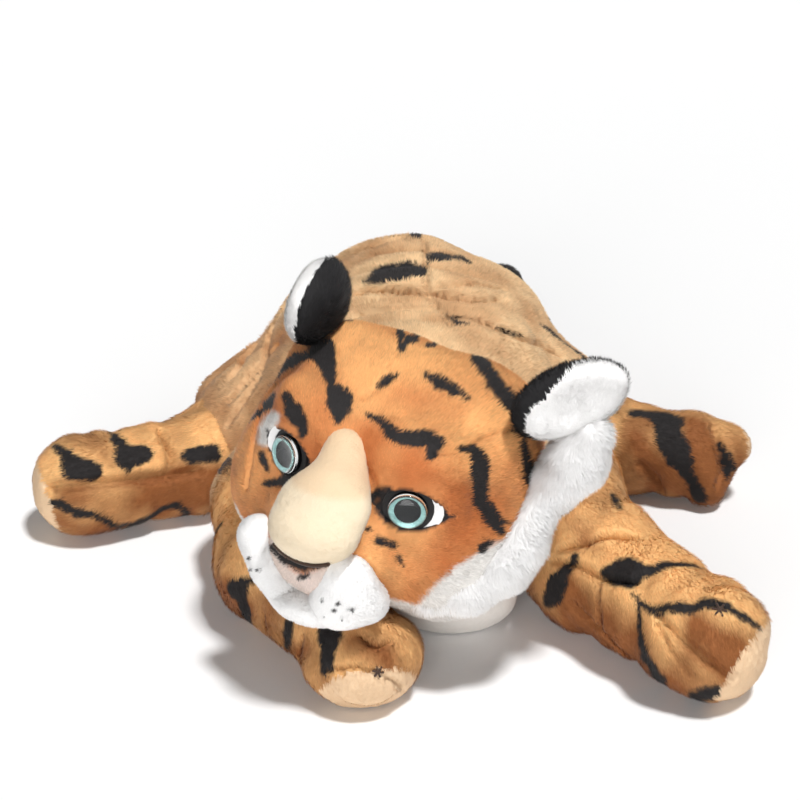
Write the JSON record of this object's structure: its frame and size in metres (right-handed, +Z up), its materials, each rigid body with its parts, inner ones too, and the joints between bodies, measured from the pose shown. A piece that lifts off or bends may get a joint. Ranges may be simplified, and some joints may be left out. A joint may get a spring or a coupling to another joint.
{
  "type": "plush tiger",
  "caption": "Stuffed long-pile tiger lying on its belly with splayed legs, chin on one forepaw; the head, legs and tail turn in cloth seams.",
  "frame": {"origin": "middle of the flat belly panel, on the floor", "axes": "+Z up, -Y the way the trunk faces, +X to the tiger's own left"},
  "size_m": [0.4908, 0.6494, 0.2479],
  "materials": {
    "tan_fur": "long soft pile, striped",
    "pale_fur": "long soft pile, striped",
    "cream_pile": "short velvety pile",
    "white_fur": "long soft pile",
    "black_fur": "long soft pile",
    "black_felt": "flat felt",
    "white_felt": "flat felt",
    "brown_thread": "twisted sewing thread",
    "plain_cloth": "plain woven lining",
    "clear_lens": "clear, polished",
    "iris_ring": "coloured foil under plastic",
    "black_plastic": "moulded",
    "washer_plastic": "moulded"
  },
  "bodies": {
    "trunk": {"trunk": "pale_fur", "belly_panel": "cream_pile", "throat_panel": "cream_pile", "pellet_bag": "plain_cloth"},
    "neck": {"neck": "tan_fur"},
    "head": {"head": "tan_fur", "nose": "cream_pile", "whisker_pad_left": "white_fur", "whisker_pad_right": "white_fur", "chin": "white_fur", "mouth_line": "brown_thread", "ear_back_left": "black_fur", "ear_back_right": "black_fur", "ear_lining_left": "white_fur", "ear_lining_right": "white_fur", "cheek_ruff_left": "white_fur", "cheek_ruff_right": "white_fur", "eye_lens_left": "clear_lens", "eye_lens_right": "clear_lens", "eye_iris_left": "iris_ring", "eye_iris_right": "iris_ring", "eye_post_left": "black_plastic", "eye_post_right": "black_plastic", "eye_washer_left": "washer_plastic", "eye_washer_right": "washer_plastic", "eye_felt_left": "black_felt", "eye_felt_right": "black_felt", "eye_corner_left": "white_felt", "eye_corner_right": "white_felt"},
    "upper_foreleg_left": {"upper_foreleg_left": "tan_fur"},
    "upper_foreleg_right": {"upper_foreleg_right": "tan_fur"},
    "lower_foreleg_left": {"lower_foreleg_left": "tan_fur", "fore_sole_left": "cream_pile", "toe_stitch_left": "brown_thread"},
    "lower_foreleg_right": {"lower_foreleg_right": "tan_fur", "fore_sole_right": "cream_pile", "toe_stitch_right": "brown_thread"},
    "hind_leg_left": {"hind_leg_left": "tan_fur", "hind_sole_left": "cream_pile"},
    "hind_leg_right": {"hind_leg_right": "tan_fur", "hind_sole_right": "cream_pile"},
    "tail_root": {"tail_root": "tan_fur"},
    "tail_middle": {"tail_middle": "tan_fur"},
    "tail_tip": {"tail_tip": "black_fur"}
  },
  "joints": [
    {"name": "head_turn", "type": "hinge", "parent": "trunk", "child": "neck", "pos_m": [-0.004, -0.095, 0.098], "axis": [0, 0, 1], "range_deg": [-8, 8]},
    {"name": "head_nod", "type": "hinge", "parent": "neck", "child": "head", "pos_m": [-0.004, -0.095, 0.098], "axis": [-0.865, 0.457, 0.2074], "range_deg": [0, 15]},
    {"name": "shoulder_left", "type": "hinge", "parent": "trunk", "child": "upper_foreleg_left", "pos_m": [0.095, -0.084, 0.05], "axis": [0, 0, 1], "range_deg": [-6, 14]},
    {"name": "elbow_left", "type": "hinge", "parent": "upper_foreleg_left", "child": "lower_foreleg_left", "pos_m": [0.116, -0.145, 0.039], "axis": [0, 0, 1], "range_deg": [-10, 20]},
    {"name": "shoulder_right", "type": "hinge", "parent": "trunk", "child": "upper_foreleg_right", "pos_m": [-0.092, -0.08, 0.043], "axis": [0, 0, 1], "range_deg": [-14, 0]},
    {"name": "elbow_right", "type": "hinge", "parent": "upper_foreleg_right", "child": "lower_foreleg_right", "pos_m": [-0.092, -0.143, 0.031], "axis": [0, 0, 1], "range_deg": [-20, 0]},
    {"name": "hip_left", "type": "hinge", "parent": "trunk", "child": "hind_leg_left", "pos_m": [0.104, 0.045, 0.047], "axis": [0, 0, 1], "range_deg": [-14, 10]},
    {"name": "hip_right", "type": "hinge", "parent": "trunk", "child": "hind_leg_right", "pos_m": [-0.104, 0.045, 0.047], "axis": [0, 0, 1], "range_deg": [-14, 10]},
    {"name": "tail_swing", "type": "hinge", "parent": "trunk", "child": "tail_root", "pos_m": [0, 0.178, 0.038], "axis": [0, 0, 1], "range_deg": [-20, 20]},
    {"name": "tail_bend", "type": "hinge", "parent": "tail_root", "child": "tail_middle", "pos_m": [0.004, 0.245, 0.0255], "axis": [0, 0, 1], "range_deg": [-25, 25]},
    {"name": "tail_tip_bend", "type": "hinge", "parent": "tail_middle", "child": "tail_tip", "pos_m": [0.028, 0.31, 0.0225], "axis": [0, 0, 1], "range_deg": [-25, 25]}
  ]
}
